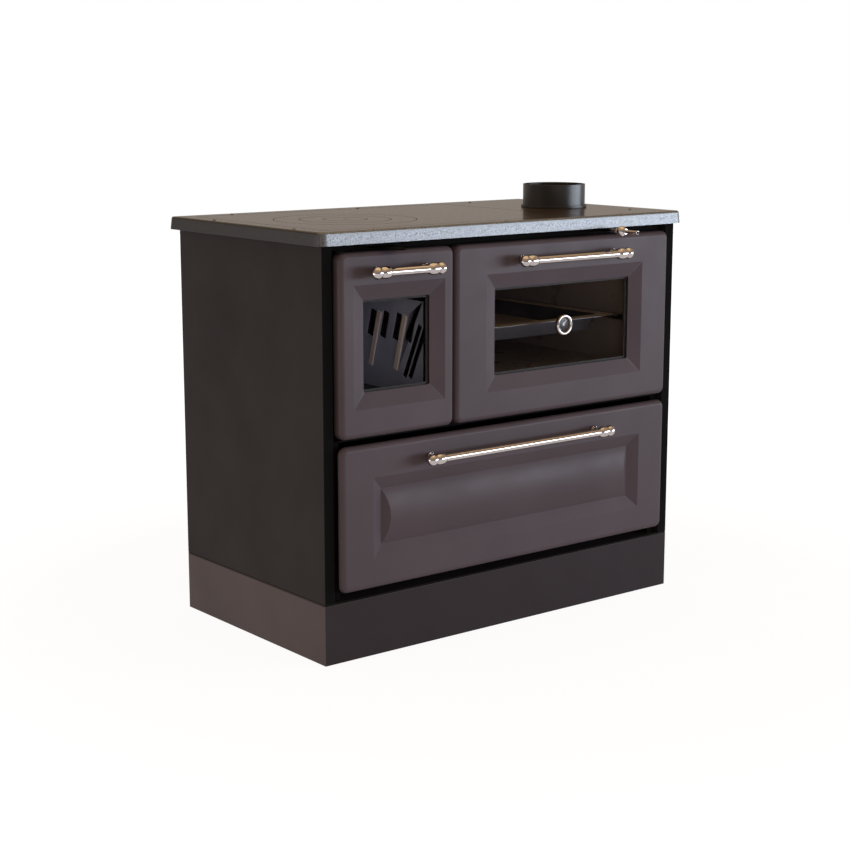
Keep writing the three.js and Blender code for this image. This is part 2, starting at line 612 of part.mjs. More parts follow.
// ---------------------------------------------------------------- air lever above the fire door
function makeAirLever() {
  const reach = LEVER_REACH + FRAME_DEPTH;
  const tongue = Array.from({ length: TONGUE_STEPS + 1 }, (_, step) => {
    const angle = Math.PI * (1 + step / TONGUE_STEPS);
    return [LEVER_CENTRE_X + LEVER_HALF_WIDTH * Math.cos(angle), FRAME_DEPTH + reach * Math.sin(angle)];
  });
  const z = [LEVER_HEIGHT, LEVER_HEIGHT + LEVER_THICKNESS];
  const [left, right] = [LEVER_CENTRE_X - LEVER_BOSS, LEVER_CENTRE_X + LEVER_BOSS];
  const neck = prismZ([...tongue, [right, LEVER_PIVOT], [left, LEVER_PIVOT]], ...z);
  const boss = rodZ(LEVER_BOSS, ...z, LEVER_CENTRE_X, LEVER_PIVOT);
  const bore = rodZ(LEVER_PIN + TOUCH, z[0] - PASS, z[1] + PASS, LEVER_CENTRE_X, LEVER_PIVOT);
  add('air_lever', cut(join(neck, boss), bore), black());
}

function makeLeverBracket() {
  const x = [LEVER_CENTRE_X - LEVER_SLOT_HALF, LEVER_CENTRE_X + LEVER_SLOT_HALF];
  const top = LEVER_HEIGHT - TOUCH;
  const y0 = FRAME_BACK + TOUCH;
  const seat = LEVER_PIVOT + LEVER_BOSS;
  const angle = [[y0, top - LEVER_SLOT_HALF], [y0 + SHEET, top - LEVER_SLOT_HALF], [y0 + SHEET, top - SHEET],
    [seat, top - SHEET], [seat, top], [y0, top]];
  const pinTop = LEVER_HEIGHT + LEVER_THICKNESS + LEVER_PIN;
  const pin = rodZ(LEVER_PIN, top - SHEET / 2, pinTop, LEVER_CENTRE_X, LEVER_PIVOT);
  add('air_lever_bracket', join(prismX(angle, ...x), pin), sheetSteel());
}

// ---------------------------------------------------------------- doors
const FACE = -DOOR_FACE;
const PLATE_BACK = FACE + DOOR_PLATE;
const TRAY_FRONT = PLATE_BACK + TOUCH;
const DRAWER_X = [FIRE_DOOR_X[0], OVEN_DOOR_X[1]];

// Outlines of a front plate from its back, round its edge, to its face.
function frontSkin(spanX, spanZ) {
  const outline = (inset) => (
    roundedRectangle(shrink(spanX, inset), shrink(spanZ, inset), DOOR_CORNER - inset));
  const rounding = edgeSteps(DOOR_EDGE).map(([inset, depth]) => upright(outline(inset), FACE + depth));
  return [upright(outline(0), PLATE_BACK), ...rounding];
}

function frontPlate(spanX, windowX) {
  const bevel = roundedRectangle(grow(windowX, WINDOW_BEVEL), grow(WINDOW_Z, WINDOW_BEVEL), BEVEL_CORNER);
  const window = roundedRectangle(windowX, WINDOW_Z, WINDOW_CORNER);
  const inner = [upright(bevel, FACE), upright(window, FACE + BEVEL_DEPTH), upright(window, PLATE_BACK)];
  return loft([...frontSkin(spanX, DOOR_Z), ...inner], true);
}

// A flat frame between two outlines.
function flatFrame(outer, inner, y0, y1) {
  return loft([upright(outer, y0), upright(outer, y1), upright(inner, y1), upright(inner, y0)], true);
}

function makeDoor(name, spanX, windowX) {
  const glassX = grow(windowX, GLASS_LAP);
  const glassZ = grow(WINDOW_Z, GLASS_LAP);
  const trayHole = roundedRectangle(grow(glassX, TOUCH), grow(glassZ, TOUCH), BEVEL_CORNER);
  const trayOutline = roundedRectangle(spanX, DOOR_Z, DOOR_CORNER);
  const tray = flatFrame(trayOutline, trayHole, TRAY_FRONT, DOOR_TRAY_BACK);
  add(`${name}_front`, frontPlate(spanX, windowX), taupe());
  const glassBack = TRAY_FRONT + GLASS_THICKNESS;
  add(`${name}_glass`, box(glassX, [TRAY_FRONT, glassBack], glassZ), glass());
  const clampY = [glassBack + TOUCH, glassBack + TOUCH + CLAMP_THICKNESS];
  const clampOuter = roundedRectangle(glassX, glassZ, BEVEL_CORNER);
  const clampX = shrink(glassX, CLAMP_WIDTH);
  const clampInner = roundedRectangle(clampX, shrink(glassZ, CLAMP_WIDTH), BEVEL_CORNER);
  add(`${name}_glass_clamp`, flatFrame(clampOuter, clampInner, ...clampY), sheetSteel());
  const sealOuter = roundedRectangle(shrink(spanX, SEAL_INSET), shrink(DOOR_Z, SEAL_INSET), DOOR_CORNER);
  const sealInset = SEAL_INSET + SEAL_WIDTH;
  const sealInner = roundedRectangle(shrink(spanX, sealInset), shrink(DOOR_Z, sealInset), DOOR_CORNER / 2);
  const sealY = [DOOR_TRAY_BACK + TOUCH, DOOR_TRAY_BACK + TOUCH + SEAL_DEPTH];
  add(`${name}_seal`, flatFrame(sealOuter, sealInner, ...sealY), ropeSeal());
  return tray;
}

// A bar with ball ends and bulged collars over two stand-off posts.
function makeHandle(name, [centre, length, height]) {
  const half = length / 2;
  const postAt = half - POST_INSET;
  const ballAt = half - BALL_RADIUS;
  const collar = Array.from({ length: COLLAR_STEPS + 1 }, (_, step) => {
    const angle = Math.PI * step / COLLAR_STEPS;
    const swell = (COLLAR_RADIUS - BAR_RADIUS) * Math.sin(angle);
    return [BAR_RADIUS + swell, postAt - COLLAR_HALF * Math.cos(angle)];
  });
  const ball = Array.from({ length: BAR_BALL_STEPS }, (_, step) => {
    const turn = BALL_START + (QUARTER - BALL_START) * step / BAR_BALL_STEPS;
    const angle = THREE.MathUtils.degToRad(turn);
    return [BALL_RADIUS * Math.cos(angle), ballAt + BALL_RADIUS * Math.sin(angle)];
  });
  const neck = [NECK_RADIUS, ballAt - BALL_RADIUS + NECK_HALF];
  const right = [...collar, neck, ...ball, [0, half]];
  const left = right.map(([r, at]) => [r, -at]).reverse();
  const points = [...left, ...right].map(([r, at]) => new THREE.Vector2(r, at));
  const axisY = FACE - HANDLE_REACH;
  const turned = new THREE.LatheGeometry(points, BAR_SIDES).rotateZ(-Math.PI / 2);
  const bar = turned.translate(centre, axisY, height);
  const sides = [['left', centre - postAt], ['right', centre + postAt]];
  const sockets = sides.map(([, x]) => rodY(POST_RADIUS + TOUCH, axisY, FACE, x, height));
  add(`${name}_handle_bar`, cut(bar, ...sockets), chrome());
  sides.forEach(([side, x]) => {
    const foot = rodY(POST_FOOT_RADIUS, FACE - TOUCH - POST_FOOT, FACE - TOUCH, x, height, PIN_SIDES);
    const post = rodY(POST_RADIUS, axisY + TOUCH, FACE - TOUCH, x, height, PIN_SIDES);
    add(`${name}_handle_post_${side}`, join(post, foot), chrome());
  });
}

const FIRE_HINGE = [FIRE_DOOR_X[0] + HINGE_INSET, 0];
const OVEN_HINGE_Z = DOOR_Z[0] + HINGE_INSET;

// Standing pins on small plates above and below the fire door.
function makeFireDoor() {
  const tray = makeDoor('fire_door', FIRE_DOOR_X, FIRE_WINDOW_X);
  const [x, y] = FIRE_HINGE;
  const [bottom, top] = DOOR_Z;
  const pinLowTop = bottom + HINGE_PIN_LENGTH;
  const pinHighBottom = top - HINGE_PIN_LENGTH;
  const boreLow = rodZ(HINGE_PIN + TOUCH, bottom - PASS, pinLowTop + PASS, x, y, PIN_SIDES);
  const boreHigh = rodZ(HINGE_PIN + TOUCH, pinHighBottom - PASS, top + PASS, x, y, PIN_SIDES);
  add('fire_door_tray', cut(tray, boreLow, boreHigh), casing());
  const plateX = [x - HINGE_HALF, x + HINGE_HALF];
  const plateY = [y - HINGE_HALF / 2, FRAME_DEPTH - TOUCH];
  const lowZ = [bottom - RUNNING - HINGE_PLATE, bottom - RUNNING];
  const highZ = [top + RUNNING, top + RUNNING + HINGE_PLATE];
  const lowPin = rodZ(HINGE_PIN, lowZ[0] + HINGE_PLATE / 2, pinLowTop, x, y, PIN_SIDES);
  const highPin = rodZ(HINGE_PIN, pinHighBottom, highZ[1] - HINGE_PLATE / 2, x, y, PIN_SIDES);
  add('fire_door_hinge_lower', join(box(plateX, plateY, lowZ), lowPin), black());
  add('fire_door_hinge_upper', join(box(plateX, plateY, highZ), highPin), black());
  const catchX = FIRE_DOOR_X[1] - SEAL_INSET + CATCH_THICKNESS;
  const catchZ = grow([middle(DOOR_Z), middle(DOOR_Z)], CATCH_LENGTH / 2);
  makeCatch('fire_door', [catchX, catchX + CATCH_THICKNESS], catchZ);
  makeHandle('fire_door', FIRE_HANDLE);
}

// Lying pins on thin ears beside the oven door's lower corners.
function makeOvenDoor() {
  const tray = makeDoor('oven_door', OVEN_DOOR_X, OVEN_WINDOW_X);
  const z = OVEN_HINGE_Z;
  const [x0, x1] = OVEN_DOOR_X;
  const pinLeftEnd = x0 + HINGE_PIN_LENGTH;
  const pinRightEnd = x1 - HINGE_PIN_LENGTH;
  const boreLeft = rodX(HINGE_PIN + TOUCH, x0 - PASS, pinLeftEnd + PASS, 0, z, PIN_SIDES);
  const boreRight = rodX(HINGE_PIN + TOUCH, pinRightEnd - PASS, x1 + PASS, 0, z, PIN_SIDES);
  add('oven_door_tray', cut(tray, boreLeft, boreRight), casing());
  const earY = [-HINGE_HALF / 2, FRAME_DEPTH - TOUCH];
  const earZ = [z - HINGE_HALF / 2, z + HINGE_HALF];
  const leftX = [x0 - RUNNING - HINGE_EAR, x0 - RUNNING];
  const rightX = [x1 + RUNNING, x1 + RUNNING + HINGE_EAR];
  const leftPin = rodX(HINGE_PIN, leftX[0] + HINGE_EAR / 2, pinLeftEnd, 0, z, PIN_SIDES);
  const rightPin = rodX(HINGE_PIN, pinRightEnd, rightX[1] - HINGE_EAR / 2, 0, z, PIN_SIDES);
  add('oven_door_hinge_left', join(box(leftX, earY, earZ), leftPin), black());
  add('oven_door_hinge_right', join(box(rightX, earY, earZ), rightPin), black());
  const catchX = grow([middle(OVEN_DOOR_X), middle(OVEN_DOOR_X)], CATCH_LENGTH / 2);
  const catchBottom = DOOR_Z[1] - SEAL_INSET + CATCH_THICKNESS;
  makeCatch('oven_door', catchX, [catchBottom, catchBottom + CATCH_THICKNESS]);
  makeHandle('oven_door', OVEN_HANDLE);
}

// A spring catch behind the tray that meets the frame's face.
function makeCatch(name, spanX, spanZ) {
  const y = [DOOR_TRAY_BACK + TOUCH, FRAME_DEPTH - TOUCH];
  add(`${name}_catch`, box(spanX, y, spanZ), sheetSteel());
}

function makeThermometer() {
  const [x, z] = THERMOMETER;
  const back = TRAY_FRONT - TOUCH;
  const front = back - DIAL_DEPTH;
  const dial = DIAL_RADIUS - DIAL_RIM;
  const round = edgeSteps(DIAL_RIM / 2).map(([inset, drop]) => [DIAL_RADIUS - inset, front + drop]);
  const inner = edgeSteps(DIAL_RIM / 2).map(([inset, drop]) => [dial + inset, front + drop]).reverse();
  const floor = front + DIAL_RECESS + DIAL_RIM / 2;
  const profile = [
    [0, back], [DIAL_RADIUS, back], ...round, ...inner.slice(1), [dial, floor], [0, floor],
  ];
  const points = profile.map(([r, y]) => new THREE.Vector2(r, y));
  const turned = new THREE.LatheGeometry(points.reverse(), BOSS_SIDES);
  add('thermometer_case', turned.translate(x, 0, z), chrome());
  const needleY = [floor - TOUCH - NEEDLE_THICKNESS, floor - TOUCH];
  const arm = box([-NEEDLE_WIDTH / 2, NEEDLE_WIDTH / 2], needleY, [0, NEEDLE_LENGTH]);
  const hub = rodY(NEEDLE_HUB, ...needleY, 0, 0, PIN_SIDES);
  const needle = join(hub, arm).rotateY(THREE.MathUtils.degToRad(NEEDLE_TURN)).translate(x, 0, z);
  add('thermometer_needle', needle, chrome());
}

// ---------------------------------------------------------------- firebox
// A row of leaning bars across a side lining.
function leaningBars({ first, pitch, count, below, share, width, lean }, spanX) {
  return Array.from({ length: count }, (_, at) => {
    const bar = box(spanX, [-width / 2, width / 2], [-share * LINING_HEIGHT, 0]);
    const leaning = bar.rotateX(THREE.MathUtils.degToRad(lean));
    return leaning.translate(0, first + at * pitch, LINING_TOP - below);
  });
}

// One side wall of the firebox: air slots, ribs on its face and a ledge for the grate.
function sideLining(face, outward) {
  const across = (from, to) => [face + outward * from, face + outward * to].sort((low, high) => low - high);
  const y = [LINING_FRONT, LINING_BACK - TOUCH];
  const plate = box(across(0, LINING_THICKNESS), y, [LINING_BOTTOM, LINING_TOP]);
  const ledgeTop = GRATE_TOP - GRATE_THICKNESS - TOUCH;
  const ledge = box(across(-GRATE_LEDGE, 0), [GRATE_FRONT, y[1]], [ledgeTop - GRATE_LEDGE, ledgeTop]);
  const ribs = leaningBars(RIB, across(-RIB_PROUD, LINING_THICKNESS / 2));
  const through = across(-RIB_PROUD - PASS, LINING_THICKNESS + PASS);
  const slots = [...leaningBars(AIR_SLOT, through), ...leaningBars(LONG_SLOT, through)];
  return cut(join(plate, ledge, ...ribs), ...slots);
}

function makeLinings() {
  add('firebox_lining_left', sideLining(LINING_LEFT, -1), castIron());
  add('firebox_lining_right', sideLining(LINING_RIGHT, 1), castIron());
  const x = [LINING_LEFT - LINING_THICKNESS, LINING_RIGHT + LINING_THICKNESS];
  const y = [LINING_BACK, LINING_BACK + LINING_THICKNESS];
  add('firebox_lining_back', box(x, y, [LINING_BOTTOM, LINING_TOP]), castIron());
}

function makeGrate() {
  const x = shrink([LINING_LEFT, LINING_RIGHT], TOUCH);
  const y = [GRATE_FRONT, LINING_BACK - TOUCH];
  const z = [GRATE_TOP - GRATE_THICKNESS, GRATE_TOP];
  const slotY = shrink(y, GRATE_EDGE);
  const inner = shrink(x, GRATE_EDGE);
  const pitch = (inner[1] - inner[0] - GRATE_SLOT) / (GRATE_BARS - 1);
  const slots = Array.from({ length: GRATE_BARS }, (_, at) => {
    const left = inner[0] + at * pitch;
    return box([left, left + GRATE_SLOT], slotY, grow(z, PASS));
  });
  add('fire_grate', cut(box(x, y, z), ...slots), castIron());
}

function makeAshPan() {
  const x = shrink([LINING_LEFT, LINING_RIGHT], PAN_MARGIN);
  const y = [LINING_FRONT, LINING_BACK - PAN_REAR_GAP];
  const z = [LINING_BOTTOM, LINING_BOTTOM + PAN_HEIGHT];
  const inside = [z[0] + THIN_SHEET, z[1] + PASS];
  const hollow = box(shrink(x, THIN_SHEET), shrink(y, THIN_SHEET), inside);
  add('ash_pan', cut(box(x, y, z), hollow), sheetSteel());
}

// ---------------------------------------------------------------- oven
function makeOvenBox() {
  const y = [FRAME_BACK + TOUCH, OVEN_BACK + SHEET];
  const z = [OVEN_FLOOR, OVEN_CEILING];
  const shell = box(grow(OVEN_INSIDE_X, SHEET), y, grow(z, SHEET));
  const flangeY = [y[0], y[0] + SHEET];
  const flange = box(grow(OVEN_INSIDE_X, OVEN_FLANGE), flangeY, grow(z, OVEN_FLANGE));
  const hollow = box(OVEN_INSIDE_X, [y[0] - PASS, OVEN_BACK], z);
  add('oven_box', cut(join(shell, flange), hollow), sheetSteel());
}

function makeTrayRails() {
  const y = [TRAY_Y[0], OVEN_BACK - TOUCH];
  const top = TRAY_RIM - THIN_SHEET - TOUCH;
  const sides = [['tray_rail_left', OVEN_INSIDE_X[0] + TOUCH, 1, TRAY_X[0]],
    ['tray_rail_right', OVEN_INSIDE_X[1] - TOUCH, -1, TRAY_X[1]]];
  sides.forEach(([name, wall, inward, trayEdge]) => {
    const tip = trayEdge + inward * RAIL_LEG;
    const angle = [[wall, top - RAIL_LEG], [wall + inward * THIN_SHEET, top - RAIL_LEG],
      [wall + inward * THIN_SHEET, top - THIN_SHEET], [tip, top - THIN_SHEET], [tip, top], [wall, top]];
    add(name, prismY(angle, ...y), sheetSteel());
  });
}

// A pressed pan: sloped walls below a flat rim.
function makeBakingTray() {
  const outline = (inset) => roundedRectangle(shrink(TRAY_X, inset), shrink(TRAY_Y, inset), DOOR_CORNER);
  const rim = TRAY_RIM;
  const floor = TRAY_RIM - TRAY_DEPTH;
  const slope = TRAY_DRAFT / TRAY_DEPTH;
  const outer = loft([
    level(outline(0), rim), level(outline(0), rim - THIN_SHEET),
    level(outline(TRAY_FLANGE - THIN_SHEET), rim - THIN_SHEET),
    level(outline(TRAY_FLANGE + TRAY_DRAFT - THIN_SHEET), floor),
  ], false);
  const inner = loft([
    level(outline(TRAY_FLANGE - slope * PASS), rim + PASS),
    level(outline(TRAY_FLANGE + TRAY_DRAFT), floor + THIN_SHEET),
  ], false);
  add('baking_tray', cut(outer, inner), sheetSteel());
}

// ---------------------------------------------------------------- wood drawer
function makeDrawerFront() {
  const bevel = roundedRectangle(FIELD_BEVEL_X, FIELD_BEVEL_Z, BEVEL_CORNER);
  const fieldX = shrink(FIELD_BEVEL_X, FIELD_BEVEL);
  const fieldZ = shrink(FIELD_BEVEL_Z, FIELD_BEVEL);
  const floorY = FACE + BEVEL_DEPTH;
  const recessed = roundedRectangle(fieldX, fieldZ, BEVEL_CORNER);
  const skin = frontSkin(DRAWER_X, DRAWER_Z);
  const plate = loft([...skin, upright(bevel, FACE), upright(recessed, floorY)], false);
  add('drawer_front', join(plate, bulgedField(fieldX, fieldZ, floorY)), taupe());
}

// Part of a lying cylinder with sloped ends; its root is sunk in the plate that it grows from.
function bulgedField([x0, x1], [z0, z1], floorY) {
  const halfHeight = (z1 - z0) / 2;
  const radius = (halfHeight ** 2 + FIELD_BULGE ** 2) / (2 * FIELD_BULGE);
  const reach = Math.asin(halfHeight / radius);
  const arc = Array.from({ length: FIELD_STEPS + 1 }, (_, step) => {
    const angle = reach * (2 * step / FIELD_STEPS - 1);
    const rise = radius * Math.cos(angle) - radius + FIELD_BULGE;
    return [floorY - rise, middle([z0, z1]) + radius * Math.sin(angle)];
  });
  const root = floorY + BEVEL_CORNER / 2;
  const bar = prismX([[root, z1], [root, z0], ...arc.slice(1, -1)], x0, x1);
  const tip = floorY - FIELD_BULGE;
  const endTrim = (x, run) => prismZ([[x, floorY], [x + run, tip], [x + run * PASS, tip - FIELD_BULGE],
    [x - run, tip - FIELD_BULGE], [x - run, floorY]], z0 - PASS, z1 + PASS);
  return cut(bar, endTrim(x0, FIELD_END_RUN), endTrim(x1, -FIELD_END_RUN));
}

function makeDrawerBox() {
  const y = [PLATE_BACK + TOUCH, DRAWER_BOX_BACK];
  const shell = box(DRAWER_BOX_X, y, DRAWER_BOX_Z);
  const inside = [DRAWER_BOX_Z[0] + THIN_SHEET, DRAWER_BOX_Z[1] + PASS];
  const hollow = box(shrink(DRAWER_BOX_X, THIN_SHEET), shrink(y, THIN_SHEET), inside);
  add('drawer_box', cut(shell, hollow), casing());
}

// Angles on the side panels; the drawer box slides on their lower legs.
function makeDrawerRunners() {
  const y = [FRAME_BACK + TOUCH, DRAWER_BOX_BACK];
  const top = DRAWER_BOX_Z[0] - TOUCH;
  const sides = [['drawer_runner_left', SHEET + TOUCH, 1, DRAWER_BOX_X[0]],
    ['drawer_runner_right', BODY_WIDTH - SHEET - TOUCH, -1, DRAWER_BOX_X[1]]];
  sides.forEach(([name, wall, inward, boxEdge]) => {
    const tip = boxEdge + inward * RUNNER_LAP;
    const angle = [[wall, top - SHEET], [tip, top - SHEET], [tip, top], [wall + inward * SHEET, top],
      [wall + inward * SHEET, top + RISER_HEIGHT], [wall, top + RISER_HEIGHT]];
    add(name, prismY(angle, ...y), sheetSteel());
  });
}

// ---------------------------------------------------------------- assembly
makePlinth();
makeBasePlate();
makeSidePanels();
makeBackPanel();
makeFrontFrame();
makeShelf();
makeTopFrame();
makeCookingPlate();
makeRings();
makeFlueCollar();
makeDamperRod();
makeDamperPlate();
makeDamperGuides();
makeAirLever();
makeLeverBracket();
makeFireDoor();
makeOvenDoor();
makeThermometer();
makeLinings();
makeGrate();
makeAshPan();
makeOvenBox();
makeTrayRails();
makeBakingTray();
makeDrawerFront();
makeDrawerBox();
makeDrawerRunners();
makeHandle('drawer', DRAWER_HANDLE);

const FOOTPRINT = [middle(RIM_X), (RIM_Y[1] - ROD_REACH) / 2];
stove.position.set(-FOOTPRINT[0], -FOOTPRINT[1], 0);

export default stove;
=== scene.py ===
import math

import bmesh
import bpy
from mathutils import Matrix, Vector


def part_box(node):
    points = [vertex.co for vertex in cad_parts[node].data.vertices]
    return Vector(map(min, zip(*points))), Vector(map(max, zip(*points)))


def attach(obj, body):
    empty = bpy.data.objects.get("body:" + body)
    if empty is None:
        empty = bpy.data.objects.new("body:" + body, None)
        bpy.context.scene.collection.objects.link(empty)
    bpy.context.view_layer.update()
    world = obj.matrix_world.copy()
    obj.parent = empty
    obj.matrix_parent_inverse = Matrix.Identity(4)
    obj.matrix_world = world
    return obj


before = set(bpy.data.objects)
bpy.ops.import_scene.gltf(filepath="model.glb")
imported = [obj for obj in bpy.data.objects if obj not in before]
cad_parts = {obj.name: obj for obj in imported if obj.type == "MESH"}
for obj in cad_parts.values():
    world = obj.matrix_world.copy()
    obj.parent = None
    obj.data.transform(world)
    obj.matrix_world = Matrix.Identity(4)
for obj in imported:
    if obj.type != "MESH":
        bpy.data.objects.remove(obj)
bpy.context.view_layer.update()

# ------------------------------------------------------------------ frame
# Places below are in millimetres from the plinth's front left bottom corner.
# at() turns them into the frame's metres.
MM = 0.001
FOOTPRINT = (472.5, 217.25)


def at(x, y, z):
    return Vector(((x - FOOTPRINT[0]) * MM, (y - FOOTPRINT[1]) * MM, z * MM))


def srgb(red, green, blue):
    """Linear colour of an 8-bit one."""
    def linear(value):
        value /= 255
        return value / 12.92 if value <= 0.04045 else ((value + 0.055) / 1.055) ** 2.4
    return (linear(red), linear(green), linear(blue), 1.0)


# ------------------------------------------------------------------ camera
CAMERA_PLACE = (-2.3431, -2.8976, 1.1124)
CAMERA_AZIMUTH = -38.32
CAMERA_ELEVATION = 10.92
LENS = 73.78

camera_data = bpy.data.cameras.new("photo_camera")
camera_data.sensor_width = 36
camera_data.lens = LENS
camera = bpy.data.objects.new("photo_camera", camera_data)
camera.location = CAMERA_PLACE
camera.rotation_euler = (math.radians(90 - CAMERA_ELEVATION), 0, math.radians(CAMERA_AZIMUTH))
bpy.context.collection.objects.link(camera)
bpy.context.scene.camera = camera
bpy.context.scene.view_settings.view_transform = "Standard"


# ------------------------------------------------------------------ materials
def in_use(sockets):
    return [socket for socket in sockets if socket.enabled]


class Nodes:
    """Short ways to add and join the nodes of a material or of the world."""

    def __init__(self, owner, output="OutputMaterial"):
        owner.use_nodes = True
        self.owner = owner
        self.tree = owner.node_tree
        self.tree.nodes.clear()
        self.output = self.add(output)

    def add(self, kind, **settings):
        node = self.tree.nodes.new("ShaderNode" + kind)
        for name, value in settings.items():
            setattr(node, name, value)
        return node

    def link(self, source, target):
        self.tree.links.new(source, target)

    def feed(self, socket, value):
        """Sets a socket to a number or a colour, or links it."""
        if isinstance(value, (int, float, tuple)):
            socket.default_value = value
        else:
            self.link(value, socket)

    def place(self):
        return self.add("TexCoord").outputs["Object"]

    def facing(self):
        """The parts of the face's own normal."""
        split = self.add("SeparateXYZ")
        self.link(self.add("NewGeometry").outputs["True Normal"], split.inputs["Vector"])
        return split.outputs

    def rays(self, *names):
        """1 for the rays named, 0 for the others."""
        path = self.add("LightPath")
        total = path.outputs[names[0]]
        for name in names[1:]:
            total = self.math("MAXIMUM", total, path.outputs[name])
        return total

    def noise(self, scale, detail, stretch=(1, 1, 1)):
        mapping = self.add("Mapping")
        mapping.inputs["Scale"].default_value = stretch
        self.link(self.place(), mapping.inputs["Vector"])
        texture = self.add("TexNoise")
        texture.inputs["Scale"].default_value = scale
        texture.inputs["Detail"].default_value = detail
        self.link(mapping.outputs["Vector"], texture.inputs["Vector"])
        return texture.outputs["Fac"]

    def ramp(self, factor, stops):
        node = self.add("ValToRGB")
        elements = node.color_ramp.elements
        while len(elements) < len(stops):
            elements.new(0.5)
        for element, (position, colour) in zip(elements, stops):
            element.position = position
            element.color = colour
        self.link(factor, node.inputs["Fac"])
        return node.outputs["Color"]

    def remap(self, factor, low, high, start=0.0, end=1.0):
        """low where factor is start, high where it is end."""
        node = self.add("MapRange")
        node.inputs["From Min"].default_value = start
        node.inputs["From Max"].default_value = end
        node.inputs["To Min"].default_value = low
        node.inputs["To Max"].default_value = high
        self.link(factor, node.inputs["Value"])
        return node.outputs["Result"]

    def math(self, operation, first, second=0.0):
        node = self.add("Math", operation=operation)
        for socket, value in zip(node.inputs, (first, second)):
            self.feed(socket, value)
        return node.outputs["Value"]

    def mix(self, factor, first, second, kind="RGBA"):
        node = self.add("Mix", data_type=kind)
        for socket, value in zip(in_use(node.inputs), (factor, first, second)):
            self.feed(socket, value)
        return in_use(node.outputs)[0]

    def bump(self, height, strength, distance):
        node = self.add("Bump")
        node.inputs["Strength"].default_value = strength
        node.inputs["Distance"].default_value = distance
        self.link(height, node.inputs["Height"])
        return node.outputs["Normal"]

    def principled(self, colour, roughness, normal=None, specular=0.5, metallic=0.0):
        shader = self.add("BsdfPrincipled")
        self.feed(shader.inputs["Base Color"], colour)
        self.feed(shader.inputs["Roughness"], roughness)
        self.feed(shader.inputs["Metallic"], metallic)
        shader.inputs["Specular IOR Level"].default_value = specular
        if normal:
            self.link(normal, shader.inputs["Normal"])
        self.link(shader.outputs["BSDF"], self.output.inputs["Surface"])
        return self.owner

    def blend(self, factor, first, second):
        """The first shader where factor is 0, the second where it is 1."""
        node = self.add("MixShader")
        for socket, value in zip(node.inputs, (factor, first, second)):
            self.link(value, socket)
        self.link(node.outputs["Shader"], self.output.inputs["Surface"])
        return self.owner


def new_nodes(name):
    return Nodes(bpy.data.materials.new(name))


SKIN_SHADE = 0.72                # of the paint's colour, in the grain of its skin


def mottled(n, scale, colour, light, skin, reach):
    """A soft mottle of two colours under a fine, darker skin."""
    cloud = n.ramp(n.noise(scale, 4), [(0.3, colour), (0.7, light)])
    grain = tuple(part * SKIN_SHADE for part in colour[:3]) + (1.0,)
    return n.mix(n.remap(skin, 0.0, reach, 0.35, 0.75), cloud, grain)


def uneven(n, scale, roughness):
    """A roughness that changes slightly over the surface."""
    return n.remap(n.noise(scale, 3), roughness - 0.04, roughness + 0.05, 0.3, 0.7)


def paint(name, colour, light, roughness, grain, bump_depth, specular):
    """Baked enamel or powder coat: a soft mottle, a fine skin and slightly uneven gloss."""
    n = new_nodes(name)
    skin = n.noise(grain, 2)
    shade = mottled(n, 6, colour, light, skin, 0.25)
    return n.principled(shade, uneven(n, 14, roughness), n.bump(skin, 0.35, bump_depth), specular)


def front_shaded_paint(name, colour, light, front, roughness, front_roughness):
    """A powder coat with painted shade: another colour, and duller, where a face looks to the front."""
    n = new_nodes(name)
    shaded_front = n.remap(n.facing()["Y"], 1.0, 0.0, -0.98, -0.85)
    skin = n.noise(1300, 2)
    # painted shade: faces that look to the front take the darker front colour
    shade = n.mix(shaded_front, mottled(n, 5, colour, light, skin, 0.22), front)
    duller = n.math("MULTIPLY", shaded_front, front_roughness - roughness)
    gloss = n.math("ADD", uneven(n, 12, roughness), duller)
    return n.principled(shade, gloss, n.bump(skin, 0.35, 0.00005), 0.12)


def metal(name, colour, light, roughness, stretch, grain=220, depth=0.00004, streak=0.12):
    """Polished or brushed metal with drawn lines along the axis where stretch is small."""
    n = new_nodes(name)
    lines = n.noise(grain, 4, stretch)
    shade = n.ramp(n.noise(9, 3), [(0.3, colour), (0.72, light)])
    rough = n.math("ADD", n.remap(lines, -streak, streak, 0.3, 0.7), roughness)
    return n.principled(shade, rough, n.bump(lines, 0.2, depth), metallic=1.0)


EVEN = (1, 1, 1)
ALONG_X = (0.04, 1, 1)
TAUPE = paint("taupe_enamel", srgb(70, 62, 68), srgb(77, 68, 74), 0.44, 1500, 0.00003, 0.18)
# For the casing and the plinth the third colour is painted shade on faces that look to the front.
CASING = front_shaded_paint("casing_paint", srgb(37, 33, 34), srgb(45, 40, 41), srgb(9, 9, 9), 0.5, 0.95)
PLINTH = front_shaded_paint("plinth_paint", srgb(80, 73, 76), srgb(88, 81, 84), srgb(46, 40, 43), 0.42, 0.6)
BLACK = paint("black_paint", srgb(12, 11, 11), srgb(17, 16, 15), 0.85, 900, 0.00006, 0.05)
CLAMP = paint("clamp_paint", srgb(52, 49, 48), srgb(60, 57, 56), 0.6, 900, 0.00004, 0.2)
CAST = paint("cast_iron", srgb(62, 62, 68), srgb(76, 75, 80), 0.7, 700, 0.0004, 0.3)
COLLAR = paint("collar_enamel", srgb(38, 37, 35), srgb(46, 44, 41), 0.32, 500, 0.00025, 0.5)
CHROME = metal("chrome", srgb(206, 197, 196), srgb(214, 205, 203), 0.09, EVEN, 60, 0.00001, 0.02)
STEEL = metal("sheet_steel", srgb(96, 90, 84), srgb(122, 115, 107), 0.34, ALONG_X)
SCREW_STEEL = metal("screw_steel", srgb(120, 113, 108), srgb(150, 143, 137), 0.3, EVEN, 90)
OVEN_STEEL = paint("oven_enamel", srgb(122, 109, 99), srgb(138, 125, 115), 0.3, 900, 0.00004, 0.4)
DIAL = paint("dial_face", srgb(20, 19, 20), srgb(26, 25, 26), 0.35, 300, 0.00001, 0.4)
